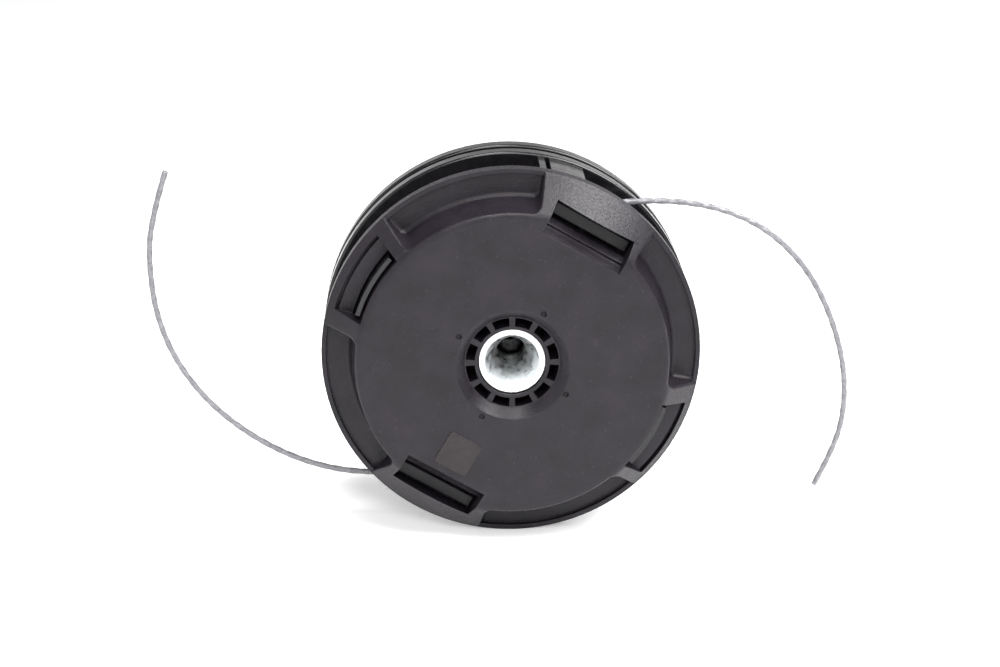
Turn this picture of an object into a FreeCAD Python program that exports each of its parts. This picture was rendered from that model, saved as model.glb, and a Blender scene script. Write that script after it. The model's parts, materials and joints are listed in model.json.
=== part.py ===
import math
import os
import re

import FreeCAD
import Part
import Sketcher
from FreeCAD import Placement, Rotation, Vector

# A bump-feed line head for a grass trimmer, in millimetres.
# The spin axis is Y. The gearbox side faces -Y, the ground side faces +Y, and Z is up.
# The origin is the centre of the arbor bore's mouth, where the insert's cone ends.
# Every "_y" value is a station along the axis. A "_r" value is a radius about it.

DIMENSIONS = (
    ("rim_r", 65.0, "flange and cover rims, the largest radius"),
    ("face_y", -16.0, "flat disc face of the casing"),
    ("face_r", 53.0, "edge of the disc face"),
    ("shoulder_r", 64.2, "where the sloping shoulders meet the rim"),
    ("lip_y", -2.6, "front of the flange lip"),
    ("lip_r", 63.4, "inside of the flange lip"),
    ("floor_y", -0.8, "floor of the arc pockets"),
    ("floor_r", 55.3, "foot of the pocket's inner wall"),
    ("flange_y", 3.0, "back of the flange"),
    ("skirt_r", 49.5, "outside of the casing's skirt"),
    ("skirt_y", 30.0, "open end of the skirt"),
    ("room_r", 47.0, "inside of the skirt"),
    ("room_y", -13.0, "inner side of the face plate"),
    ("post_r", 13.0, "hub post that the spool turns on"),
    ("post_y", 27.0, "end of the hub post"),
    ("dish_r", 19.2, "outer edge of the hub dish"),
    ("dish_foot_r", 16.1, "foot of the hub dish"),
    ("hub_y", -12.4, "hub ring and its ribs"),
    ("cell_out_r", 15.85, "outside of the hub cells"),
    ("cell_in_r", 12.8, "inside of the hub cells"),
    ("cell_y", 0.0, "bottom of the hub cells"),
    ("cell_angle", 22.0, "width of a hub cell, degrees"),
    ("insert_r", 10.0, "body of the arbor insert"),
    ("seat_r", 11.45, "flange of the arbor insert"),
    ("seat_y", -11.0, "front of the insert, where the gearbox seats"),
    ("seat_back_y", -9.0, "back of the insert's flange"),
    ("cone_r", 9.4, "mouth of the insert's cone"),
    ("bore_r", 5.1, "plain arbor bore"),
    ("bore_y", 13.5, "end of the plain bore"),
    ("thread_r", 4.4, "crest radius of the M10 x 1.25 thread"),
    ("pocket_angle", 51.0, "width of an arc pocket, degrees"),
    ("pocket_turn", 15.75, "middle of the first arc pocket, degrees"),
    ("latch_turn", 60.0, "middle of the first straight window, degrees"),
    ("tongue_turn", 150.0, "middle of the first curved window, degrees"),
    ("window_half", 14.85, "half the width of a straight window"),
    ("window_in_r", 45.2, "inner edge of a straight window"),
    ("window_out_r", 56.2, "outer edge of a straight window"),
    ("arm_slot_in_r", 49.6, "inside of a latch arm's slot"),
    ("arm_slot_out_r", 55.2, "outside of a latch arm's slot"),
    ("arm_in_r", 52.4, "inside of a latch arm"),
    ("arm_out_r", 54.9, "outside of a latch arm"),
    ("window_angle", 27.4, "width of a curved window, degrees"),
    ("curved_in_r", 53.2, "inner edge of a curved window"),
    ("curved_ledge_r", 56.2, "inner edge of a curved window's ledge"),
    ("curved_foot_r", 61.2, "foot of a curved window's outer wall"),
    ("curved_out_r", 62.5, "outer edge of a curved window"),
    ("tongue_in_r", 54.0, "inside of a locating tongue"),
    ("tongue_out_r", 55.6, "outside of a locating tongue"),
    ("tongue_angle", 24.0, "width of a locating tongue, degrees"),
    ("pip_ring_r", 20.9, "ring of four dimples in the disc face"),
    ("pip_deep", 0.9, "depth of the dimples"),
    ("mould_x", -18.6, "middle of the mould plate along X"),
    ("mould_z", -31.5, "middle of the mould plate along Z"),
    ("mould_corner", 8.6, "reach of the mould plate's corners"),
    ("lug_in_r", 28.0, "inside of the index lugs"),
    ("lug_out_r", 36.0, "outside of the index lugs"),
    ("lug_angle", 12.0, "width of an index lug, degrees"),
    ("lug_turn", 15.0, "rest angle of the spool's lugs from the fixed ones"),
    ("lug_tall", 2.8, "height of the fixed lugs"),
    ("cover_y", 22.0, "front of the cover"),
    ("plate_y", 38.5, "inner side of the cover's end plate"),
    ("groove_r", 61.5, "groove between the cover's rims"),
    ("cover_room_r", 58.5, "inside of the cover's side wall"),
    ("hole_r", 24.2, "hole for the bump knob"),
    ("knob_r", 23.4, "bump knob"),
    ("knob_y", 58.0, "end of the bump knob"),
    ("spool_r", 45.0, "spool flanges"),
    ("spool_y", -5.0, "front of the spool"),
    ("spool_back_y", 33.0, "back of the spool's rear flange"),
    ("core_r", 24.0, "spool core, where the line is wound"),
    ("core_in_r", 21.5, "inside of the spool core"),
    ("wound_r", 35.9, "outside of the wound line"),
    ("bush_r", 15.0, "outside of the spool's bush"),
    ("bush_gap", 0.05, "running clearance on the hub post"),
    ("boss_r", 17.0, "spool hub boss"),
    ("boss_y", 39.3, "end of the spool hub boss"),
    ("line_r", 1.0, "cutting line"),
    ("line_y", 14.0, "plane that the line leaves in"),
    ("exit_turn", 16.0, "direction of the right line's exit from +X, degrees"),
    ("exit_reach", 38.77, "distance of the exit along that direction"),
    ("exit_rise", 37.26, "distance of the exit across that direction"),
    ("eyelet_r", 3.0, "eyelet body"),
    ("washer_y", 27.45, "front of the thrust washer"),
    ("spring_seat_r", 20.5, "edge of the spring's seat in the casing"),
    ("wire_r", 0.8, "wire of the spring"),
    ("coil_r", 18.6, "mean radius of the spring"),
    ("nut_r", 5.77, "corners of the M6 nut and bolt head"),
    ("bolt_r", 2.95, "shank of the M6 bolt"),
    ("bolt_hole_r", 3.2, "hole for the bolt in the spool and the knob"),
)

# Free line, as (x, z) points in the plane line_y. The left end is given turned half a turn.
RIGHT_ROUTE = (
    (27.0, 46.5), (34.0, 48.5), (44.5, 49.3), (57.5, 49.2), (71.5, 46.8), (84.5, 41.6),
    (96.5, 32.6), (106.5, 20.0), (114.0, 4.0), (118.6, -13.5), (118.8, -30.5),
    (115.0, -44.0), (109.2, -56.0),
)
LEFT_ROUTE = (
    (27.0, 46.5), (34.0, 48.5), (45.0, 49.5), (58.5, 48.7), (72.5, 45.0), (86.0, 38.4),
    (98.5, 29.4), (109.0, 18.5), (117.4, 5.2), (122.6, -10.0), (124.3, -27.0),
    (123.2, -43.0), (117.2, -61.0),
)

# How much of a run the arc at each of its ends may take.
ARC_SHARE = 0.45

doc = FreeCAD.newDocument("line_head")
sheet = doc.addObject("Spreadsheet::Sheet", "dims")
for row, (alias, value, meaning) in enumerate(DIMENSIONS, start=1):
    sheet.set(f"A{row}", meaning)
    sheet.set(f"B{row}", str(value))
    sheet.setAlias(f"B{row}", alias)
doc.recompute()
ALIASES = {alias for alias, value, meaning in DIMENSIONS}
PIECES = []


def bind(text):
    """Turn 'rim_r - 1' into an expression on the sheet."""
    return re.sub(r"[a-z]\w*", lambda m: "dims." + m[0] if m[0] in ALIASES else m[0], str(text))


def value_of(text):
    return float(sheet.evalExpression(bind(text)))


def new_body(label):
    body = doc.addObject("PartDesign::Body", label)
    body.Label = label
    PIECES.append(body)
    return body


def origin_item(body, role):
    return next(item for item in body.Origin.OriginFeatures if item.Role == role)


def sketch_on(body, name, role="XY_Plane", shift="0", turn="0", turn_axis=Vector(0, 1, 0)):
    """A sketch on an origin plane, shifted along its normal and turned about an axis in it."""
    sketch = body.newObject("Sketcher::SketchObject", name)
    sketch.AttachmentSupport = [(origin_item(body, role), "")]
    sketch.MapMode = "FlatFace"
    sideways = "x" if turn_axis.y else "y"
    sign = 1 if turn_axis.y else -1
    if value_of(turn):
        sketch.AttachmentOffset = Placement(Vector(), Rotation(turn_axis, value_of(turn)))
        sketch.setExpression("AttachmentOffset.Rotation.Angle", bind(turn))
    if value_of(shift):
        sketch.setExpression("AttachmentOffset.Base.z", bind(f"({shift}) * cos({turn})"))
        sketch.setExpression(f"AttachmentOffset.Base.{sideways}", bind(f"{sign} * ({shift}) * sin({turn})"))
    return sketch


def hold(sketch, kind, first, first_end, second, second_end, text):
    """A horizontal or vertical dimension between two points, bound to the sheet."""
    limit = Sketcher.Constraint(kind, first, first_end, second, second_end, value_of(text))
    index = sketch.addConstraint(limit)
    sketch.setExpression(f"Constraints[{index}]", bind(text))


def outline(sketch, corners):
    """A closed outline of straight lines, with each corner held by two dimensions."""
    spots = [Vector(value_of(x), value_of(y), 0) for x, y in corners]
    count = len(spots)
    lines = []
    for i in range(count):
        lines.append(sketch.addGeometry(Part.LineSegment(spots[i], spots[(i + 1) % count])))
    for i, line in enumerate(lines):
        following = lines[(i + 1) % count]
        sketch.addConstraint(Sketcher.Constraint("Coincident", line, 2, following, 1))
    for line, (x, y) in zip(lines, corners):
        hold(sketch, "DistanceX", -1, 1, line, 1, x)
        hold(sketch, "DistanceY", -1, 1, line, 1, y)


def box_outline(sketch, left, bottom, right, top):
    outline(sketch, [(left, bottom), (right, bottom), (right, top), (left, top)])


def circle(sketch, x, y, radius):
    centre = Vector(value_of(x), value_of(y), 0)
    ring = sketch.addGeometry(Part.Circle(centre, Vector(0, 0, 1), value_of(radius)))
    hold(sketch, "DistanceX", -1, 1, ring, 3, x)
    hold(sketch, "DistanceY", -1, 1, ring, 3, y)
    index = sketch.addConstraint(Sketcher.Constraint("Radius", ring, value_of(radius)))
    sketch.setExpression(f"Constraints[{index}]", bind(radius))


def turned(body, sketch, name, angle="360", cut=False):
    """Turn a section about Y, as material or as a cut. Part turns are centred on the sketch."""
    kind = "PartDesign::Groove" if cut else "PartDesign::Revolution"
    before = body.Shape.Volume if cut else 0.0
    feature = body.newObject(kind, name)
    feature.Profile = sketch
    feature.ReferenceAxis = (sketch, ["V_Axis"])
    feature.Angle = value_of(angle)
    feature.setExpression("Angle", bind(angle))
    feature.Midplane = value_of(angle) < 360
    body.Tip = feature
    doc.recompute()
    if cut and not body.Shape.Volume < before:
        raise RuntimeError(f"{name} cuts nothing")
    return feature


def pushed(body, sketch, name, length, cut=False, both_ways=False, reverse=False):
    """Push a section along its normal, as material or as a cut."""
    kind = "PartDesign::Pocket" if cut else "PartDesign::Pad"
    before = body.Shape.Volume if cut else 0.0
    feature = body.newObject(kind, name)
    feature.Profile = sketch
    feature.setExpression("Length", bind(length))
    feature.SideType = "Symmetric" if both_ways else "One side"
    feature.Reversed = reverse
    body.Tip = feature
    doc.recompute()
    if cut and not body.Shape.Volume < before:
        raise RuntimeError(f"{name} cuts nothing")
    return feature


def repeated(body, feature, count):
    """Repeat a feature evenly about the spin axis."""
    pattern = body.newObject("PartDesign::PolarPattern", feature.Name + "_pattern")
    pattern.Originals = [feature]
    pattern.Axis = (origin_item(body, "Y_Axis"), [""])
    pattern.Angle = 360
    pattern.Occurrences = count
    body.Tip = pattern
    doc.recompute()
    return pattern


def rounded(body, name, radius, wanted):
    """Round the edges of the body's last feature that 'wanted' picks."""
    base = body.Tip
    edges = [f"Edge{i}" for i, edge in enumerate(base.Shape.Edges, start=1) if wanted(edge)]
    fillet = body.newObject("PartDesign::Fillet", name)
    fillet.Base = (base, edges)
    fillet.Radius = radius
    body.Tip = fillet
    doc.recompute()
    return fillet


def ring_edge(edge, radius, station):
    """True for an arc about the spin axis of this radius at this station."""
    if not isinstance(edge.Curve, Part.Circle):
        return False
    same_size = abs(edge.Curve.Radius - value_of(radius)) < 0.01
    return same_size and abs(edge.Curve.Center.y - value_of(station)) < 0.01


def radius_of(point):
    return math.hypot(point.x, point.z)


def edge_points(edge):
    """The two ends and the middle of an edge, or nothing for a closed one."""
    if len(edge.Vertexes) != 2:
        return []
    middle = edge.valueAt((edge.FirstParameter + edge.LastParameter) / 2)
    return [edge.Vertexes[0].Point, middle, edge.Vertexes[1].Point]


def in_arc_pocket(point):
    """True if the point's direction is within one of the four arc pockets."""
    away = math.degrees(math.atan2(point.z, point.x)) - value_of("pocket_turn")
    return abs((away + 45) % 90 - 45) < value_of("pocket_angle / 2") + 0.1


def pocket_corner(edge):
    """True for an upright edge between a pocket's end and its inner wall."""
    points = edge_points(edge)
    if not points or not all(in_arc_pocket(point) for point in points):
        return False
    top, foot = sorted((points[0], points[2]), key=lambda point: point.y)
    near_top = abs(radius_of(top) - value_of("face_r")) < 0.2 and top.y < value_of("face_y + 1")
    near_foot = abs(radius_of(foot) - value_of("floor_r")) < 0.05 and foot.y > value_of("floor_y - 0.1")
    return near_top and near_foot


def pocket_foot(edge):
    """True for the edges at the foot of a pocket's ends and inner wall."""
    points = edge_points(edge)
    on_floor = all(abs(point.y - value_of("floor_y")) < 0.02 for point in points)
    inside = all(in_arc_pocket(point) for point in points)
    return bool(points) and on_floor and inside and radius_of(points[1]) < value_of("lip_r - 0.2")


def pocket_mouth(edge):
    """True for the edges of a pocket on the disc face and down the shoulders."""
    points = edge_points(edge)
    if not points or not all(in_arc_pocket(point) for point in points):
        return False
    slope = value_of("(lip_y - 0.8 - face_y) / (shoulder_r - face_r)")
    for point in points:
        outward = radius_of(point) - value_of("face_r")
        skin_y = value_of("face_y") + max(0.0, outward * slope)
        if not -0.5 < outward < value_of("shoulder_r - face_r - 0.2") or not -0.05 < point.y - skin_y < 0.6:
            return False
    return True


def mould_plate_corner(edge):
    """True for an upright edge of the mould plate."""
    points = edge_points(edge)
    stations = sorted(point.y for point in points)
    above = bool(points) and stations[0] < value_of("face_y - 0.3") and stations[-1] < value_of("face_y + 0.05")
    return above and stations[-1] - stations[0] > 0.3


def pip_floor(edge):
    """True for the ring at the bottom of a dimple."""
    if not isinstance(edge.Curve, Part.Circle):
        return False
    centre = edge.Curve.Center
    on_floor = abs(centre.y - value_of("face_y + pip_deep")) < 0.01
    return on_floor and abs(radius_of(centre) - value_of("pip_ring_r")) < 0.01


def simple_ring(label, corners):
    body = new_body(label)
    sketch = sketch_on(body, label + "_section")
    outline(sketch, corners)
    turned(body, sketch, label + "_turned")
    return body


def upper_housing():
    body = new_body("upper_housing")

    section = sketch_on(body, "casing_section")
    outline(section, [
        ("insert_r", "seat_back_y"),
        ("seat_r + 0.15", "seat_back_y"),
        ("seat_r + 0.15", "hub_y"),
        ("dish_foot_r", "hub_y"),
        ("dish_r", "face_y"),
        ("face_r", "face_y"),
        ("shoulder_r", "lip_y - 0.8"),
        ("rim_r", "lip_y"),
        ("rim_r", "flange_y - 0.8"),
        ("rim_r - 0.8", "flange_y"),
        ("skirt_r", "flange_y"),
        ("skirt_r", "skirt_y"),
        ("insert_r", "skirt_y"),
    ])
    turned(body, section, "casing_turned")
    rounded(body, "disc_edge", 4.0, lambda edge: ring_edge(edge, "face_r", "face_y"))

    cell = sketch_on(body, "hub_cell_section", turn="-15")
    box_outline(cell, "cell_in_r", "face_y", "cell_out_r", "cell_y")
    repeated(body, turned(body, cell, "hub_cell", "cell_angle", cut=True), 12)

    pocket = sketch_on(body, "arc_pocket_section", turn="-pocket_turn")
    outline(pocket, [
        ("face_r", "face_y - 1"),
        ("face_r", "face_y"),
        ("floor_r", "floor_y"),
        ("lip_r", "floor_y"),
        ("lip_r", "lip_y"),
        ("rim_r + 1", "lip_y"),
        ("rim_r + 1", "face_y - 1"),
    ])
    repeated(body, turned(body, pocket, "arc_pocket", "pocket_angle", cut=True), 4)

    # Each straight window steps down two ramps to a slot for the cover's latch arm.
    window = sketch_on(body, "straight_window_section", turn="-latch_turn")
    outline(window, [
        ("window_in_r", "face_y - 1"),
        ("window_in_r", "face_y + 0.2"),
        ("window_in_r + 1.4", "face_y + 4.0"),
        ("window_in_r + 2.0", "face_y + 5.0"),
        ("window_in_r + 2.7", "face_y + 4.6"),
        ("arm_slot_in_r", "face_y + 7.5"),
        ("arm_slot_in_r", "flange_y + 1"),
        ("arm_slot_out_r", "flange_y + 1"),
        ("arm_slot_out_r", "floor_y - 3.2"),
        ("window_out_r", "floor_y - 3.2"),
        ("window_out_r", "face_y - 1"),
    ])
    straight = pushed(body, window, "straight_window", "2 * window_half", cut=True, both_ways=True)
    repeated(body, straight, 2)

    # Each curved window has a ledge and a slot for the cover's locating tongue.
    curved = sketch_on(body, "curved_window_section", turn="-tongue_turn")
    outline(curved, [
        ("curved_in_r", "face_y - 1"),
        ("curved_in_r", "flange_y + 1"),
        ("curved_ledge_r", "flange_y + 1"),
        ("curved_ledge_r", "lip_y - 2.4"),
        ("curved_foot_r", "lip_y - 2.4"),
        ("curved_foot_r", "lip_y + 0.8"),
        ("curved_out_r", "lip_y + 0.8"),
        ("curved_out_r", "face_y - 1"),
    ])
    repeated(body, turned(body, curved, "curved_window", "window_angle", cut=True), 2)

    boss = sketch_on(body, "exit_boss_section", "YZ_Plane", "exit_reach - 1.4", "-exit_turn", Vector(1, 0, 0))
    circle(boss, "line_y", "exit_rise", "eyelet_r + 2.4")
    repeated(body, pushed(body, boss, "exit_boss", "12", reverse=True), 2)

    room = sketch_on(body, "spool_room_section")
    outline(room, [
        ("boss_r", "room_y + 3"),
        ("spring_seat_r", "room_y + 3"),
        ("spring_seat_r", "room_y"),
        ("spool_r - 1.5", "room_y"),
        ("spool_r + 0.8", "room_y + 2.4"),
        ("spool_r + 0.8", "spool_y + 1.5"),
        ("room_r", "spool_y + 3"),
        ("room_r", "skirt_y + 1"),
        ("insert_r - 1", "skirt_y + 1"),
        ("insert_r - 1", "post_y"),
        ("post_r", "post_y"),
        ("post_r", "cell_y + 2"),
        ("boss_r", "cell_y + 2"),
    ])
    turned(body, room, "spool_room", cut=True)

    port = sketch_on(body, "exit_port_section", "YZ_Plane", "exit_reach", "-exit_turn", Vector(1, 0, 0))
    circle(port, "line_y", "exit_rise", "eyelet_r")
    repeated(body, pushed(body, port, "exit_port", "15", cut=True), 2)

    lug = sketch_on(body, "front_lug_section")
    box_outline(lug, "lug_in_r", "room_y - 0.5", "lug_out_r", "room_y + lug_tall")
    repeated(body, turned(body, lug, "front_lug", "lug_angle"), 6)

    pip = sketch_on(body, "pip_section", "XZ_Plane", "-face_y")
    circle(pip, "pip_ring_r * cos(60)", "pip_ring_r * sin(60)", "1.0")
    repeated(body, pushed(body, pip, "pip", "pip_deep", cut=True), 4)

    # A plain square plate of the mould, in line with the straight windows.
    plate = sketch_on(body, "mould_plate_section", "XZ_Plane", "-face_y")
    corners = []
    for quarter in range(4):
        turn = f"(latch_turn + 45 + {90 * quarter})"
        corners.append((f"mould_x + mould_corner * cos{turn}", f"mould_z + mould_corner * sin{turn}"))
    outline(plate, corners)
    pushed(body, plate, "mould_plate", "0.35")

    rounded(body, "mould_plate_corners", 1.2, mould_plate_corner)
    rounded(body, "pip_floors", 0.8, pip_floor)
    rounded(body, "pocket_corners", 2.5, pocket_corner)
    rounded(body, "pocket_foot", 1.8, pocket_foot)
    rounded(body, "pocket_mouth", 1.0, pocket_mouth)
    rounded(body, "dish_edge", 0.6, lambda edge: ring_edge(edge, "dish_r", "face_y"))
    rounded(body, "dish_foot", 0.5, lambda edge: ring_edge(edge, "dish_foot_r", "hub_y"))
    return body


def arbor_insert():
    return simple_ring("arbor_insert", [
        ("seat_r - 0.3", "seat_y"),
        ("seat_r", "seat_y + 0.3"),
        ("seat_r", "seat_back_y"),
        ("insert_r", "seat_back_y"),
        ("insert_r", "post_y"),
        ("thread_r + 0.6", "post_y"),
        ("thread_r", "post_y - 0.6"),
        ("thread_r", "bore_y + 0.7"),
        ("bore_r", "bore_y"),
        ("bore_r", "0"),
        ("cone_r", "seat_y"),
    ])


def lower_cover():
    body = new_body("lower_cover")
    section = sketch_on(body, "cover_section")
    outline(section, [
        ("cover_room_r", "cover_y"),
        ("rim_r", "cover_y"),
        ("rim_r", "cover_y + 6"),
        ("groove_r", "cover_y + 6"),
        ("groove_r", "plate_y - 5.5"),
        ("rim_r", "plate_y - 5.5"),
        ("rim_r", "plate_y"),
        ("rim_r - 2.5", "plate_y + 2.5"),
        ("28", "plate_y + 6"),
        ("28", "plate_y + 8"),
        ("hole_r", "plate_y + 8"),
        ("hole_r", "plate_y"),
        ("skirt_r + 0.4", "plate_y"),
        ("skirt_r + 0.4", "skirt_y - 4"),
        ("skirt_r + 2.1", "skirt_y - 4"),
        ("skirt_r + 2.1", "plate_y"),
        ("cover_room_r", "plate_y"),
    ])
    turned(body, section, "cover_turned")

    recess = sketch_on(body, "grip_recess_section")
    outline(recess, [
        ("33", "plate_y + 4.3"),
        ("57", "plate_y + 1.9"),
        ("57", "plate_y + 7"),
        ("33", "plate_y + 7"),
    ])
    repeated(body, turned(body, recess, "grip_recess", "22", cut=True), 12)

    # Guards stand on the cover's front beside each line exit: a broad one and a narrow tab.
    for name, middle, width in (("exit_guard", 72, 11), ("guard_tab", 80, 2)):
        guard = sketch_on(body, name + "_section", turn=f"-{middle}")
        box_outline(guard, "cover_room_r + 0.5", "flange_y + 0.8", "rim_r - 1", "cover_y + 0.5")
        repeated(body, turned(body, guard, name, width), 2)

    lug = sketch_on(body, "cover_lug_section")
    box_outline(lug, "lug_in_r", "plate_y - lug_tall", "lug_out_r", "plate_y + 0.5")
    repeated(body, turned(body, lug, "cover_lug", "lug_angle"), 6)

    tongue = sketch_on(body, "tongue_section", turn="-tongue_turn")
    box_outline(tongue, "tongue_in_r", "face_y + 4", "tongue_out_r", "plate_y + 0.5")
    repeated(body, turned(body, tongue, "locating_tongue", "tongue_angle"), 2)

    stations = ("cover_y", "cover_y + 6", "plate_y - 5.5")
    rounded(body, "rim_edges", 0.8, lambda edge: any(ring_edge(edge, "rim_r", y) for y in stations))
    return body


def latch_arm(side, turn):
    """A snap arm of the cover. Its own X is the outward direction of its window."""
    body = new_body("latch_arm_" + side)
    section = sketch_on(body, side + "_arm_section")
    outline(section, [
        ("arm_in_r", "plate_y - 0.3"),
        ("arm_out_r", "plate_y - 0.3"),
        ("arm_out_r", "floor_y - 3.4"),
        ("window_out_r - 0.2", "floor_y - 3.4"),
        ("arm_out_r + 0.05", "floor_y - 6.2"),
        ("arm_in_r - 1.6", "floor_y - 6.2"),
        ("arm_in_r - 1.6", "floor_y - 0.2"),
        ("arm_in_r", "floor_y + 1.8"),
    ])
    pushed(body, section, side + "_arm", "2 * window_half - 1.1", both_ways=True)
    opening = sketch_on(body, side + "_arm_opening", "YZ_Plane")
    box_outline(opening, "line_y - 7", "-10", "line_y + 7", "10")
    pushed(body, opening, side + "_arm_window", "2 * rim_r", cut=True, both_ways=True)
    top = value_of("floor_y - 6.1")
    rounded(body, side + "_head_edges", 0.5, lambda edge: all(vertex.Y < top for vertex in edge.Vertexes))
    body.Placement = Placement(Vector(), Rotation(Vector(0, 1, 0), -value_of(turn)))
    return body


def spool():
    body = new_body("spool")
    section = sketch_on(body, "spool_section")
    outline(section, [
        ("core_in_r", "spool_y"),
        ("spool_r", "spool_y"),
        ("spool_r", "spool_y + 2"),
        ("core_r", "spool_y + 2"),
        ("core_r", "line_y - 0.8"),
        ("wound_r", "line_y - 0.8"),
        ("wound_r", "line_y + 0.8"),
        ("core_r", "line_y + 0.8"),
        ("core_r", "spool_back_y - 2"),
        ("spool_r", "spool_back_y - 2"),
        ("spool_r", "spool_back_y"),
        ("boss_r", "spool_back_y"),
        ("boss_r", "boss_y"),
        ("bolt_hole_r", "boss_y"),
        ("bolt_hole_r", "spool_back_y"),
        ("bush_r", "spool_back_y"),
        ("bush_r", "spool_back_y - 9"),
        ("boss_r", "spool_back_y - 9"),
        ("boss_r", "spool_back_y - 4"),
        ("core_in_r", "spool_back_y - 4"),
    ])
    turned(body, section, "spool_turned")

    pocket = sketch_on(body, "nut_pocket_section", "XZ_Plane", "-spool_back_y")
    outline(pocket, [(f"(nut_r + 0.08) * cos({60 * i})", f"(nut_r + 0.08) * sin({60 * i})") for i in range(6)])
    pushed(body, pocket, "nut_pocket", "4", cut=True)

    front = sketch_on(body, "spool_front_lug_section", turn="-lug_turn")
    box_outline(front, "lug_in_r", "spool_y - lug_tall", "lug_out_r", "spool_y + 0.5")
    repeated(body, turned(body, front, "spool_front_lug", "lug_angle"), 6)

    rear = sketch_on(body, "spool_rear_lug_section", turn="-lug_turn")
    box_outline(rear, "lug_in_r", "spool_back_y - 0.5", "lug_out_r", "plate_y - 0.3")
    repeated(body, turned(body, rear, "spool_rear_lug", "lug_angle"), 6)
    return body


def spool_bush():
    return simple_ring("spool_bush", [
        ("post_r + bush_gap", "spool_back_y - 9"),
        ("bush_r", "spool_back_y - 9"),
        ("bush_r", "spool_back_y - 1"),
        ("post_r + bush_gap", "spool_back_y - 1"),
    ])


def line_windings():
    chambers = {
        "line_winding_front": ("spool_y + 2", "line_y - 0.8"),
        "line_winding_rear": ("line_y + 0.8", "spool_back_y - 2"),
    }
    for label, (front, back) in chambers.items():
        simple_ring(label, [("core_r", front), ("wound_r", front), ("wound_r", back), ("core_r", back)])


def thrust_washer():
    return simple_ring("thrust_washer", [
        ("boss_r + 0.4", "washer_y"),
        ("core_in_r - 0.3", "washer_y"),
        ("core_in_r - 0.3", "washer_y + 1.5"),
        ("boss_r + 0.4", "washer_y + 1.5"),
    ])


def compression_spring():
    """A helix from the casing's seat to the thrust washer."""
    helix = doc.addObject("Part::Helix", "spring_helix")
    helix.setExpression("Height", bind("washer_y - room_y - 3 - 2 * wire_r - 0.1"))
    helix.setExpression("Pitch", bind("(washer_y - room_y - 3 - 2 * wire_r - 0.1) / 6.5"))
    helix.setExpression("Radius", bind("coil_r"))
    helix.SegmentLength = 1
    ring = doc.addObject("Part::Circle", "spring_wire")
    ring.setExpression("Radius", bind("wire_r"))
    ring.Placement = Placement(Vector(value_of("coil_r"), 0, 0), Rotation(Vector(1, 0, 0), 90))
    doc.recompute()
    sweep = doc.addObject("Part::Sweep", "compression_spring")
    sweep.Label = "compression_spring"
    sweep.Sections = [ring]
    sweep.Spine = (helix, [f"Edge{i}" for i in range(1, len(helix.Shape.Edges) + 1)])
    sweep.Solid = True
    sweep.Frenet = True
    start = Vector(0, value_of("room_y + 3 + wire_r + 0.05"), 0)
    sweep.Placement = Placement(start, Rotation(Vector(1, 0, 0), -90))
    PIECES.append(sweep)
    return sweep


def bump_knob():
    body = simple_ring("bump_knob", [
        ("bolt_hole_r", "boss_y"),
        ("9", "boss_y"),
        ("9", "knob_y - 9"),
        ("knob_r - 3", "knob_y - 9"),
        ("knob_r - 3", "spool_back_y"),
        ("knob_r", "spool_back_y"),
        ("knob_r", "knob_y"),
        ("6.5", "knob_y"),
        ("6.5", "knob_y - 5"),
        ("bolt_hole_r", "knob_y - 5"),
    ])
    rounded(body, "knob_edge", 6.0, lambda edge: ring_edge(edge, "knob_r", "knob_y"))
    return body


def along_axis(station):
    """A placement that stands a Part primitive's Z on the spin axis at this station."""
    return Placement(Vector(0, value_of(station), 0), Rotation(Vector(1, 0, 0), -90))


def fasteners():
    """The M6 bolt, its washer and its nut hold the knob on the spool."""
    head = doc.addObject("Part::Prism", "bolt_head")
    head.Polygon = 6
    head.setExpression("Circumradius", bind("nut_r"))
    head.Height = 3.6
    head.Placement = along_axis("knob_y - 4")
    shank = doc.addObject("Part::Cylinder", "bolt_shank")
    shank.setExpression("Radius", bind("bolt_r"))
    shank.setExpression("Height", bind("knob_y - 4 - spool_back_y - 0.6"))
    shank.Placement = along_axis("spool_back_y + 0.6")
    bolt = doc.addObject("Part::Fuse", "knob_bolt")
    bolt.Base = head
    bolt.Tool = shank

    block = doc.addObject("Part::Prism", "nut_block")
    block.Polygon = 6
    block.setExpression("Circumradius", bind("nut_r"))
    block.Height = 3.8
    block.Placement = along_axis("spool_back_y + 0.1")
    hole = doc.addObject("Part::Cylinder", "nut_hole")
    hole.setExpression("Radius", bind("bolt_r + 0.05"))
    hole.Height = 6
    hole.Placement = along_axis("spool_back_y - 1")
    nut = doc.addObject("Part::Cut", "knob_nut")
    nut.Base = block
    nut.Tool = hole

    for piece in (bolt, nut):
        piece.Label = piece.Name
        PIECES.append(piece)
    simple_ring("knob_washer", [
        ("3.1", "knob_y - 5"),
        ("6.2", "knob_y - 5"),
        ("6.2", "knob_y - 4"),
        ("3.1", "knob_y - 4"),
    ])


def exit_direction():
    turn = math.radians(value_of("exit_turn"))
    return Vector(math.cos(turn), 0, math.sin(turn))


def exit_point(reach):
    """A point on the right exit's axis, at this distance along it."""
    forward = exit_direction()
    across = Vector(-forward.z, 0, forward.x)
    return forward * reach + across * value_of("exit_rise") + Vector(0, value_of("line_y"), 0)


def half_turned(placement):
    """The same placement, half a turn on about the spin axis."""
    return Placement(Vector(), Rotation(Vector(0, 1, 0), 180)).multiply(placement)


def eyelet(side):
    body = simple_ring("eyelet_" + side, [
        ("line_r + 0.15", "-8.8"),
        ("eyelet_r", "-8.8"),
        ("eyelet_r", "-1.4"),
        ("eyelet_r + 1.2", "-1.4"),
        ("eyelet_r + 1.2", "-0.4"),
        ("eyelet_r + 0.8", "0"),
        ("line_r + 0.9", "0"),
        ("line_r + 0.15", "-0.8"),
    ])
    place = Placement(exit_point(value_of("exit_reach")), Rotation(Vector(0, 1, 0), exit_direction()))
    body.Placement = place if side == "right" else half_turned(place)
    return body


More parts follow.
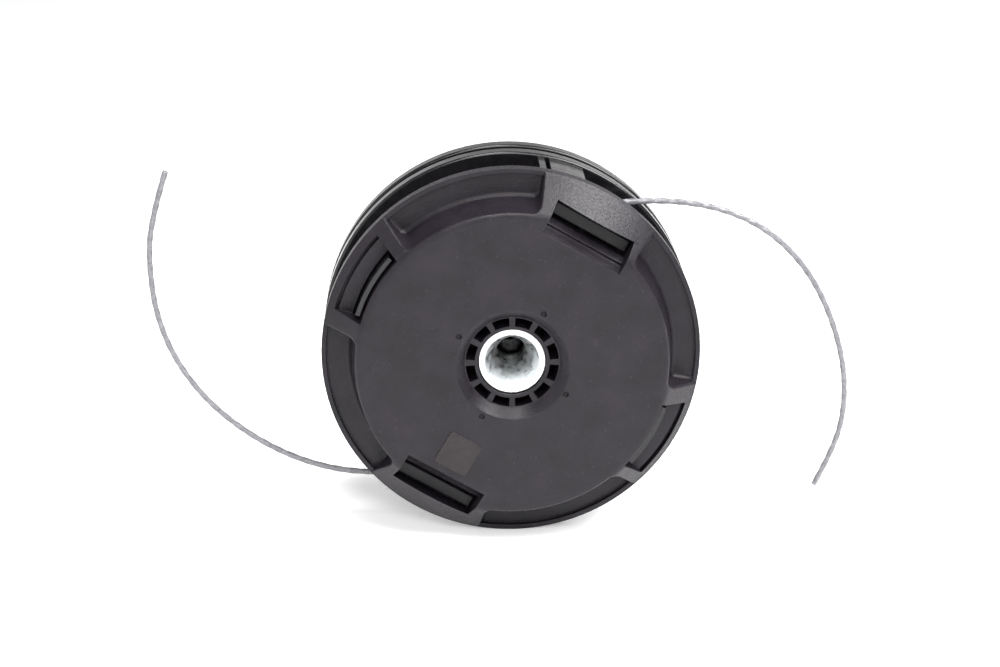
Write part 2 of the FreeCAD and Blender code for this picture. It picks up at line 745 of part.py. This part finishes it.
def line_lead(side):
    """The taut line from the winding to the eyelet's mouth."""
    lead = doc.addObject("Part::Cylinder", "line_lead_" + side)
    lead.Label = "line_lead_" + side
    lead.setExpression("Radius", bind("line_r"))
    lead.setExpression("Height", bind("exit_reach"))
    place = Placement(exit_point(0), Rotation(Vector(0, 0, 1), exit_direction()))
    lead.Placement = place if side == "right" else half_turned(place)
    PIECES.append(lead)
    return lead


def rounded_route(spots):
    """Straight runs joined by tangent arcs, each as large as its two runs allow."""
    edges = []
    radii = []
    start = spots[0]
    for before, corner, after in zip(spots, spots[1:], spots[2:]):
        inward = (corner - before).normalize()
        outward = (after - corner).normalize()
        half = inward.getAngle(outward) / 2
        reach = ARC_SHARE * min(corner.distanceToPoint(before), corner.distanceToPoint(after))
        radius = reach / math.tan(half)
        inside = (outward - inward).normalize()
        centre = corner + inside * (radius / math.cos(half))
        arc_start = corner - inward * reach
        arc_end = corner + outward * reach
        edges.append(Part.LineSegment(start, arc_start).toShape())
        edges.append(Part.Arc(arc_start, centre - inside * radius, arc_end).toShape())
        radii.append(radius)
        start = arc_end
    edges.append(Part.LineSegment(start, spots[-1]).toShape())
    return Part.Wire(edges), radii


def line_end(side, route):
    """A free end of stiff nylon line, as a tube along its route."""
    spots = [Vector(x, value_of("line_y"), z) for x, z in route]
    path, radii = rounded_route(spots)
    radius = value_of("line_r")
    section = Part.Wire(Part.Circle(spots[0], spots[1] - spots[0], radius).toShape())
    tube = path.makePipeShell([section], True, False)
    piece = doc.addObject("Part::Feature", "line_end_" + side)
    piece.Label = "line_end_" + side
    piece.Shape = tube
    if side == "left":
        piece.Placement = half_turned(Placement())
    PIECES.append(piece)
    print(f"{piece.Label}: {path.Length:.1f} mm long, smallest radius {min(radii):.1f} mm")
    return piece


upper_housing()
arbor_insert()
lower_cover()
latch_arm("right", "latch_turn")
latch_arm("left", "latch_turn + 180")
spool()
spool_bush()
line_windings()
thrust_washer()
compression_spring()
bump_knob()
fasteners()
for side, route in (("right", RIGHT_ROUTE), ("left", LEFT_ROUTE)):
    eyelet(side)
    line_lead(side)
    line_end(side, route)

# Write the pieces.
doc.recompute()
for item in doc.Objects:
    if "Invalid" in item.State or "Error" in item.State:
        raise RuntimeError(f"{item.Name} failed: {item.State}")
os.makedirs("parts", exist_ok=True)
for piece in PIECES:
    shape = piece.Shape
    if shape.isNull() or not shape.isValid():
        raise RuntimeError(f"{piece.Label} has no valid shape")
    shape.exportStep(f"parts/{piece.Label}.step")
    print(f"{piece.Label}: {len(shape.Solids)} solid(s), {shape.Volume / 1000:.2f} cm3")
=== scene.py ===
import json
import math

import bmesh
import bpy
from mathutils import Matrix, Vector


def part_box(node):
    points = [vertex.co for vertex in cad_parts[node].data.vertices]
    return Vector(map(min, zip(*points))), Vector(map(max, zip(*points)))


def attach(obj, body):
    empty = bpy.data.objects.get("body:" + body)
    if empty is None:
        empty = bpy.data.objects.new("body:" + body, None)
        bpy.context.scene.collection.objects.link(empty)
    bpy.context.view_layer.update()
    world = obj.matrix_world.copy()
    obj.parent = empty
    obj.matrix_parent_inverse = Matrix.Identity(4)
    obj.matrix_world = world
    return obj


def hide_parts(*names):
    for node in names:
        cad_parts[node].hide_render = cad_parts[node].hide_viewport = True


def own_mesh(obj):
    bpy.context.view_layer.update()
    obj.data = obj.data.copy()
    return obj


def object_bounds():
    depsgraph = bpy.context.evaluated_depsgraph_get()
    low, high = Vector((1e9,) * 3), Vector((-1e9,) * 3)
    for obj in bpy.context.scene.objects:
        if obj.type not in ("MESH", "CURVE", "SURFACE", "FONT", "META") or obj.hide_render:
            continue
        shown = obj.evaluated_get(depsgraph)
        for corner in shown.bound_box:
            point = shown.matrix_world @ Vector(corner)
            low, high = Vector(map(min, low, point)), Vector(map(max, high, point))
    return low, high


# A bump-feed line head for a grass trimmer, standing on its rim. Metres, in the CAD's frame:
# Y is the spin axis with -Y towards the gearbox, and Z is up.

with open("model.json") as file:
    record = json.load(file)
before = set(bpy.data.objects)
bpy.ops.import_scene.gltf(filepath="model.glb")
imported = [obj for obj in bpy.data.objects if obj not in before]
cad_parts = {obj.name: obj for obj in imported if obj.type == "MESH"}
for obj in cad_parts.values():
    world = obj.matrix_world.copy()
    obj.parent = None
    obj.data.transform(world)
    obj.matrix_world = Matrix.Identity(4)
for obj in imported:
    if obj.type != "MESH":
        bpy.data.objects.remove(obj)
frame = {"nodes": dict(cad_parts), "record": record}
cad_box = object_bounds()

MM = 0.001
MM_PER_METRE = 1000.0
FULL_TURN = 2 * math.pi
WHITE = (1, 1, 1, 1)

scene = bpy.context.scene
scene.view_settings.view_transform = "Standard"
scene.view_settings.look = "None"


def link(obj):
    scene.collection.objects.link(obj)
    return obj


def turn_towards(obj, place, aim):
    """Place a camera or a light and point it at aim."""
    obj.location = place
    obj.rotation_mode = "QUATERNION"
    obj.rotation_quaternion = (Vector(aim) - Vector(place)).to_track_quat("-Z", "Y")


# Camera.
LENS_MM = 82.1
SENSOR_MM = 36.0
CAMERA_AT = (-0.02743, -0.74481, 0.24521)
CAMERA_AIM = (-0.00384, -0.0024, 0.00716)
camera = link(bpy.data.objects.new("camera", bpy.data.cameras.new("camera")))
camera.data.lens = LENS_MM
camera.data.sensor_width = SENSOR_MM
camera.data.clip_start = 10 * MM
turn_towards(camera, CAMERA_AT, CAMERA_AIM)
scene.camera = camera


# Materials. A noise texture's values lie mostly between these two.
NOISE_LOW = 0.3
NOISE_HIGH = 0.7
EDGE_SAMPLES = 6


class Nodes:
    """A small wrapper round one material's node tree. Sizes and depths are in millimetres."""

    def __init__(self, name, color, roughness, metallic=0.0, **sockets):
        self.material = bpy.data.materials.new(name)
        self.material.use_nodes = True
        self.tree = self.material.node_tree
        self.bsdf = self.tree.nodes["Principled BSDF"]
        self.bsdf.inputs["Base Color"].default_value = (*color, 1)
        self.bsdf.inputs["Roughness"].default_value = roughness
        self.bsdf.inputs["Metallic"].default_value = metallic
        for socket, value in sockets.items():
            self.bsdf.inputs[socket.replace("_", " ")].default_value = value
        self.place = self.add("ShaderNodeTexCoord").outputs["Object"]
        self.normal = None

    def feed(self, value, socket):
        """Give a socket a plain value, or join another node's output to it."""
        if isinstance(value, bpy.types.NodeSocket):
            self.tree.links.new(value, socket)
        else:
            socket.default_value = value

    def add(self, kind, **inputs):
        node = self.tree.nodes.new(kind)
        for socket, value in inputs.items():
            self.feed(value, node.inputs[socket.replace("_", " ")])
        return node

    def set_color(self, value):
        self.feed(value, self.bsdf.inputs["Base Color"])

    def set_roughness(self, value):
        self.feed(value, self.bsdf.inputs["Roughness"])

    def set_normal(self, value):
        self.normal = value
        self.feed(value, self.bsdf.inputs["Normal"])

    def soft_edges(self, radius_mm):
        """Edges a little rounded in the shading, for radii too small to model."""
        node = self.add("ShaderNodeBevel", Radius=radius_mm * MM)
        node.samples = EDGE_SAMPLES
        self.set_normal(node.outputs["Normal"])

    def bump(self, height, depth_mm):
        """Relief on top of the relief and the soft edges made so far."""
        node = self.add("ShaderNodeBump", Height=height, Strength=1.0, Distance=depth_mm * MM)
        if self.normal is not None:
            self.feed(self.normal, node.inputs["Normal"])
        self.set_normal(node.outputs["Normal"])

    def noise(self, size_mm, detail=2.0, rough=0.5, place=None):
        node = self.add("ShaderNodeTexNoise", Vector=place or self.place,
                        Scale=MM_PER_METRE / size_mm, Detail=detail, Roughness=rough)
        return node.outputs["Fac"]

    def spread(self, value, low, high, start=NOISE_LOW, end=NOISE_HIGH):
        """A number that goes from low to high as value goes from start to end."""
        node = self.add("ShaderNodeMapRange", Value=value, From_Min=start, From_Max=end,
                        To_Min=low, To_Max=high)
        return node.outputs["Result"]

    def blend(self, value, first, second, start=NOISE_LOW, end=NOISE_HIGH):
        """A colour that goes from first to second as value goes from start to end."""
        node = self.add("ShaderNodeValToRGB", Fac=value)
        ends = zip(node.color_ramp.elements, (start, end), (first, second))
        for element, position, color in ends:
            element.position = position
            element.color = (*color, 1)
        return node.outputs["Color"]

    def mixed(self, factor, first, second):
        """Two colours, or colour outputs, blended by a factor."""
        mix = self.tree.nodes.new("ShaderNodeMix")
        mix.data_type = "RGBA"
        self.feed(factor, mix.inputs["Factor"])
        for socket, color in (("A", first), ("B", second)):
            self.feed((*color, 1) if isinstance(color, tuple) else color, mix.inputs[socket])
        return mix.outputs["Result"]

    def times(self, first, second):
        product = self.tree.nodes.new("ShaderNodeMath")
        product.operation = "MULTIPLY"
        self.feed(first, product.inputs[0])
        self.feed(second, product.inputs[1])
        return product.outputs["Value"]

    def length(self, vector):
        node = self.tree.nodes.new("ShaderNodeVectorMath")
        node.operation = "LENGTH"
        self.feed(vector, node.inputs[0])
        return node.outputs["Value"]

    def depth(self):
        """The station along the spin axis, in metres."""
        return self.add("ShaderNodeSeparateXYZ", Vector=self.place).outputs["Y"]

    def radius(self):
        """The distance from the spin axis, in metres."""
        split = self.add("ShaderNodeSeparateXYZ", Vector=self.place).outputs
        flat = self.add("ShaderNodeCombineXYZ", X=split["X"], Z=split["Z"])
        return self.length(flat.outputs["Vector"])

    def rings(self, pitch_mm):
        """Turning marks: noise that changes only with the radius."""
        return self.noise(pitch_mm, 3.0, 0.6, self.radius())


def shade(color, factor):
    return tuple(factor * part for part in color)


CASING_COLOR = (0.0069, 0.0054, 0.0077)
PLATE_COLOR = (0.0153, 0.0122, 0.0128)
PLATE_Y_MM = -16.0
# Behind this station the casing is glossier, and its colour is darkened as painted shade.
GLOSS_AND_SHADE_Y_MM = 3.4


def textured_nylon(name, color, roughness, grain_mm, grain_depth_mm, plate=False, gloss_and_painted_shade=False):
    """Moulded nylon with a spark-eroded grain, a few pale specks and slow blotches.

    plate gives whatever stands in front of the casing's face the paler colour of the mould plate,
    and gloss_and_painted_shade makes the wall behind the flange glossier and darkens its colour
    there as painted shade.
    """
    made = Nodes(name, color, roughness, Specular_IOR_Level=0.25)
    made.soft_edges(0.35)
    for size_mm, detail, depth_mm in ((6.0, 3.0, 0.09), (2.2, 2.0, 0.022)):
        made.bump(made.noise(size_mm, detail, 0.5), depth_mm)
    grain = made.noise(grain_mm, 3.0, 0.65)
    made.bump(grain, grain_depth_mm)
    dull = made.spread(grain, roughness - 0.14, roughness + 0.1)
    blotch = made.blend(made.noise(14.0, 5.0, 0.6), color, shade(color, 1.9), 0.35, 0.68)
    speck = made.spread(made.noise(1.3, 2.0, 0.5), 0.0, 0.6, 0.66, 0.74)
    specked = made.mixed(speck, blotch, shade(color, 3.6))
    if plate:
        low, high = (PLATE_Y_MM - 0.2) * MM, (PLATE_Y_MM - 0.08) * MM
        raised = made.spread(made.depth(), 1.0, 0.0, low, high)
        worn = made.blend(made.noise(3.0, 4.0, 0.65), PLATE_COLOR, shade(PLATE_COLOR, 1.5))
        specked = made.mixed(raised, specked, worn)
    # Painted shade: behind the flange the colour is darkened in place of the shadow cast by the
    # flange and cover. The lower roughness there is real gloss.
    if gloss_and_painted_shade:
        low, high = (GLOSS_AND_SHADE_Y_MM - 0.1) * MM, (GLOSS_AND_SHADE_Y_MM + 0.1) * MM
        behind = made.spread(made.depth(), 0.0, 1.0, low, high)
        specked = made.mixed(behind, specked, shade(color, 0.35))
        dull = made.times(dull, made.spread(behind, 1.0, 0.5, 0.0, 1.0))
    made.set_color(specked)
    made.set_roughness(dull)
    return made.material


def smooth_nylon(name, color, roughness, specular=0.5):
    """Moulded nylon from a mirror-smooth mould: faint waves, with haze and shade in slow patches.
    """
    made = Nodes(name, color, roughness, Specular_IOR_Level=specular)
    made.soft_edges(0.3)
    for size_mm, depth_mm in ((4.0, 0.03), (0.5, 0.004)):
        made.bump(made.noise(size_mm), depth_mm)
    haze = made.noise(3.0, 5.0, 0.6)
    made.set_roughness(made.spread(haze, roughness - 0.06, roughness + 0.12))
    made.set_color(made.blend(made.noise(6.0, 4.0, 0.6), color, shade(color, 1.5)))
    return made.material


# Painted shade deep in the insert's bore: the colour it fades to, and over how many millimetres.
BORE_SHADE_COLOR = (0.006, 0.005, 0.005)
BORE_SHADE_FADE_MM = 4.5


def plated_steel(name, color, roughness, painted_shade_from_y_mm=None):
    """Bright zinc plate with turning marks under it, darkened deep in a bore by painted shade."""
    made = Nodes(name, color, roughness, metallic=1.0)
    made.bump(made.rings(0.25), 0.003)
    made.bump(made.noise(1.6, 3.0), 0.012)
    haze = made.noise(2.4, 4.0, 0.6)
    made.set_roughness(made.spread(haze, roughness - 0.12, roughness + 0.12))
    plate = made.blend(made.noise(4.0, 3.0), shade(color, 0.84), color, 0.32, 0.48)
    # Painted shade: the colour fades to near black deeper in the bore, standing in for the shadow
    # in its thread.
    if painted_shade_from_y_mm is not None:
        low, high = (painted_shade_from_y_mm - BORE_SHADE_FADE_MM) * MM, painted_shade_from_y_mm * MM
        bore_shade = made.spread(made.depth(), 0.0, 1.0, low, high)
        plate = made.mixed(bore_shade, plate, BORE_SHADE_COLOR)
    made.set_color(plate)
    return made.material


def drawn_line(name):
    """Cloudy grey nylon line, drawn and a little scuffed."""
    made = Nodes(name, (0.15, 0.15, 0.163), 0.34, Specular_IOR_Level=0.5,
                 Coat_Weight=0.15, Coat_Roughness=0.2)
    cloud = made.noise(1.6, 4.0, 0.6)
    made.set_color(made.blend(cloud, (0.105, 0.105, 0.115), (0.195, 0.195, 0.207)))
    made.bump(made.noise(0.35, 3.0, 0.6), 0.02)
    made.set_roughness(made.spread(made.noise(0.8), 0.24, 0.42))
    return made.material


MATERIALS = {
    "casing_nylon": textured_nylon("casing", CASING_COLOR, 0.42, 0.8, 0.09,
                                   plate=True, gloss_and_painted_shade=True),
    "cover_nylon": smooth_nylon("cover", (0.005, 0.0047, 0.0056), 0.15, specular=0.4),
    "latch_nylon": smooth_nylon("latch", (0.009, 0.0085, 0.0095), 0.4, specular=0.21),
    "spool_nylon": smooth_nylon("spool", (0.012, 0.012, 0.013), 0.3),
    "knob_nylon": textured_nylon("knob", (0.02, 0.02, 0.021), 0.45, 1.0, 0.05),
    "bush_acetal": smooth_nylon("bush", (0.62, 0.62, 0.57), 0.35),
    "insert_zinc": plated_steel("insert", (0.93, 0.95, 0.955), 0.32, painted_shade_from_y_mm=13.5),
    "eyelet_steel": plated_steel("eyelet", (0.55, 0.56, 0.58), 0.28),
    "spring_steel": plated_steel("spring", (0.36, 0.36, 0.37), 0.32),
    "washer_steel": plated_steel("washer", (0.6, 0.61, 0.62), 0.3),
    "fastener_steel": plated_steel("fastener", (0.62, 0.63, 0.64), 0.26),
    "line_nylon": drawn_line("line"),
}
SLOT_OF = {part["node"]: part["material_slot"] for part in frame["record"]["subparts"]}
BODY_OF = {
    node: body
    for body, nodes in frame["record"]["behaviour"]["bodies"].items()
    for node in nodes
}
for node, slot_name in SLOT_OF.items():
    frame["nodes"][node].material_slots[0].material = MATERIALS[slot_name]


def standing_for(obj, node):
    """A finished piece takes a CAD node's place, body and material slot."""
    link(obj)
    obj.data.materials.append(MATERIALS[SLOT_OF[node]])
    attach(obj, BODY_OF[node])
    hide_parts(node)
    return obj


# The two free ends of line, and their taut leads inside the casing. A route gives the right line's
# points as x and z in millimetres, and the left line's route is turned half round.
LINE_Y = 14 * MM
LINE_R = 1.0 * MM
LINE_SIDES = 32
TWIST = 22 * MM
SQUARENESS = 3.2
SQUARE_REACH = 0.92 * LINE_R
EXIT_TURN = math.radians(16)
EXIT_REACH = 38.77 * MM
EXIT_RISE = 37.26 * MM
LEAD_STEPS = 60
PATH_STEPS = 40
RIGHT_ROUTE = (
    (27.0, 46.5), (34.0, 48.5), (44.5, 49.3), (57.5, 49.2), (71.5, 46.8), (84.5, 41.6),
    (96.5, 32.6), (106.5, 20.0), (114.0, 4.0), (118.6, -13.5), (118.8, -30.5),
    (115.0, -44.0), (109.2, -56.0),
)
LEFT_ROUTE = (
    (27.0, 46.5), (34.0, 48.5), (45.0, 49.5), (58.5, 48.7), (72.5, 45.0), (86.0, 38.4),
    (98.5, 29.4), (109.0, 18.5), (117.4, 5.2), (122.6, -10.0), (124.3, -27.0),
    (123.2, -43.0), (117.2, -61.0),
)


def smooth_path(name, points):
    """The points of a NURBS curve with these control points."""
    curve = bpy.data.curves.new(name, "CURVE")
    curve.dimensions = "3D"
    curve.resolution_u = PATH_STEPS
    spline = curve.splines.new("NURBS")
    spline.points.add(len(points) - 1)
    for spot, point in zip(spline.points, points):
        spot.co = (*point, 1)
    spline.order_u = 3
    spline.use_endpoint_u = True
    holder = link(bpy.data.objects.new(name, curve))
    mesh = bpy.data.meshes.new_from_object(holder)
    path = [vertex.co.copy() for vertex in mesh.vertices]
    bpy.data.objects.remove(holder)
    bpy.data.meshes.remove(mesh)
    return path


def object_from(name, bm):
    """Turn a finished bmesh into an object, with its faces pointing outwards."""
    bmesh.ops.recalc_face_normals(bm, faces=bm.faces)
    mesh = bpy.data.meshes.new(name)
    bm.to_mesh(mesh)
    bm.free()
    return bpy.data.objects.new(name, mesh)


def twisted_line(name, path):
    """A rounded-square nylon line, twisted along its path, with bare cut ends."""
    bm = bmesh.new()
    rings = []
    travelled = 0.0
    up = Vector((0, 1, 0))
    for i, spot in enumerate(path):
        before = path[max(i - 1, 0)]
        after = path[min(i + 1, len(path) - 1)]
        travelled += (spot - before).length
        across = (after - before).normalized().cross(up).normalized()
        twist = FULL_TURN * travelled / TWIST
        ring = []
        for k in range(LINE_SIDES):
            angle = FULL_TURN * k / LINE_SIDES
            wide, tall = abs(math.cos(angle)), abs(math.sin(angle))
            reach = SQUARE_REACH / (wide ** SQUARENESS + tall ** SQUARENESS) ** (1 / SQUARENESS)
            out = across * math.cos(angle + twist) + up * math.sin(angle + twist)
            ring.append(bm.verts.new(spot + out * reach))
        rings.append(ring)
    for first, second in zip(rings, rings[1:]):
        for k in range(LINE_SIDES):
            j = (k + 1) % LINE_SIDES
            bm.faces.new((first[k], second[k], second[j], first[j])).smooth = True
    bm.faces.new(rings[0])
    bm.faces.new(reversed(rings[-1]))
    return object_from(name, bm)


for side, sign, route in (("right", 1, RIGHT_ROUTE), ("left", -1, LEFT_ROUTE)):
    points = [(sign * x * MM, LINE_Y, sign * z * MM) for x, z in route]
    path = smooth_path("route_" + side, points)
    free = standing_for(twisted_line("free_line_" + side, path), "line_end_" + side)

    forward = Vector((math.cos(EXIT_TURN), 0, math.sin(EXIT_TURN)))
    start = Vector((-forward.z, 0, forward.x)) * EXIT_RISE
    taut = []
    for i in range(LEAD_STEPS + 1):
        spot = start + forward * (EXIT_REACH * i / LEAD_STEPS)
        taut.append(spot * sign + Vector((0, LINE_Y, 0)))
    standing_for(twisted_line("taut_line_" + side, taut), "line_lead_" + side)


# The wound line: each chamber is full, and the turns of its outer layer show.
CORE_R = 24.0 * MM
WOUND_R = 35.9 * MM
TURNS = 8
BEAD_FILL = 0.98
BEAD_STEPS = 6
WOUND_STEPS = 144


def wound_profile(low, high):
    """Radius and station of a winding's section: half-round beads on a plain core."""
    pitch = (high - low) / TURNS
    bead = pitch / 2
    crown = WOUND_R - bead
    profile = [(CORE_R, low)]
    for turn in range(TURNS):
        middle = low + pitch * (turn + 0.5)
        for i in range(BEAD_STEPS + 1):
            angle = math.pi * (i / BEAD_STEPS - 0.5)
            profile.append((crown + bead * math.cos(angle) * BEAD_FILL,
                            middle + bead * math.sin(angle) * BEAD_FILL))
    profile.append((CORE_R, high))
    return profile


def winding(name, node):
    """A ring of wound line, turned from its profile, in a CAD node's place."""
    profile = wound_profile(*(corner.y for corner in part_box(node)))
    count = len(profile)
    bm = bmesh.new()
    rows = []
    for k in range(WOUND_STEPS):
        angle = FULL_TURN * k / WOUND_STEPS
        c, s = math.cos(angle), math.sin(angle)
        rows.append([bm.verts.new((r * c, y, r * s)) for r, y in profile])
    for k in range(WOUND_STEPS):
        row, following = rows[k], rows[(k + 1) % WOUND_STEPS]
        for i in range(count):
            j = (i + 1) % count
            face = bm.faces.new((row[i], row[j], following[j], following[i]))
            face.smooth = 0 < i < count - 2
    standing_for(object_from(name, bm), node)


for end in ("front", "rear"):
    winding("wound_line_" + end, "line_winding_" + end)


# A copy of the spring with a mesh of its own, in the compression spring's place. On the real head
# the spring is pressed shorter as the reel is bumped towards the casing.
coil_mesh = frame["nodes"]["compression_spring"].data.copy()
coil_mesh.materials.clear()
coil = standing_for(bpy.data.objects.new("coil_spring", coil_mesh), "compression_spring")
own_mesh(coil)


# Floor. The light falls off away from the object, so the far floor glows more to stay white.
FLOOR_REACH = 30.0
NEAR_GLOW, FAR_GLOW = 0.36, 0.8
NEAR_END, FAR_START = 1.2, 4.0
corners = [(x * FLOOR_REACH, y * FLOOR_REACH, cad_box[0].z)
           for x, y in ((-1, -1), (1, -1), (1, 1), (-1, 1))]
floor_mesh = bpy.data.meshes.new("floor")
floor_mesh.from_pydata(corners, [], [(0, 1, 2, 3)])
floor = link(bpy.data.objects.new("floor", floor_mesh))
table = Nodes("floor", (0.8, 0.8, 0.805), 0.5, Specular_IOR_Level=0.2, Emission_Color=WHITE)
glow = table.spread(table.length(table.place), NEAR_GLOW, FAR_GLOW, NEAR_END, FAR_START)
table.feed(glow, table.bsdf.inputs["Emission Strength"])
floor_mesh.materials.append(table.material)

# The studio's walls are bright low down and dim upwards: heights are shares of a unit direction.
WALL_GLOW, CEILING_GLOW = 0.95, 0.27
WALL_TOP, CEILING_START = 0.17, 0.27
world = bpy.data.worlds.new("studio")
scene.world = world
world.use_nodes = True
sky = world.node_tree
background = sky.nodes["Background"]
background.inputs["Color"].default_value = WHITE
toward = sky.nodes.new("ShaderNodeTexCoord")
split = sky.nodes.new("ShaderNodeSeparateXYZ")
dim = sky.nodes.new("ShaderNodeMapRange")
dim.inputs["From Min"].default_value = WALL_TOP
dim.inputs["From Max"].default_value = CEILING_START
dim.inputs["To Min"].default_value = WALL_GLOW
dim.inputs["To Max"].default_value = CEILING_GLOW
sky.links.new(toward.outputs["Generated"], split.inputs["Vector"])
sky.links.new(split.outputs["Z"], dim.inputs["Value"])
sky.links.new(dim.outputs["Result"], background.inputs["Strength"])

# Softboxes: name, place, aim, width and height in metres, and power in watts.
SOFTBOXES = (
    ("key", (0.58, -0.18, 0.84), (0, 0, 0.01), 0.95, 0.5, 24),
    ("top", (-0.1, -0.2, 1.05), (0, 0, 0.03), 0.3, 0.45, 9),
    ("left", (-0.95, -0.35, 0.45), (0, 0, 0), 0.5, 0.9, 3),
    ("front", (0.0, -1.0, 0.68), (0, 0, 0), 0.7, 0.45, 9),
)
for name, place, aim, width, height, power in SOFTBOXES:
    light = bpy.data.lights.new(name, "AREA")
    light.shape = "RECTANGLE"
    light.size = width
    light.size_y = height
    light.energy = power
    turn_towards(link(bpy.data.objects.new(name, light)), place, aim)
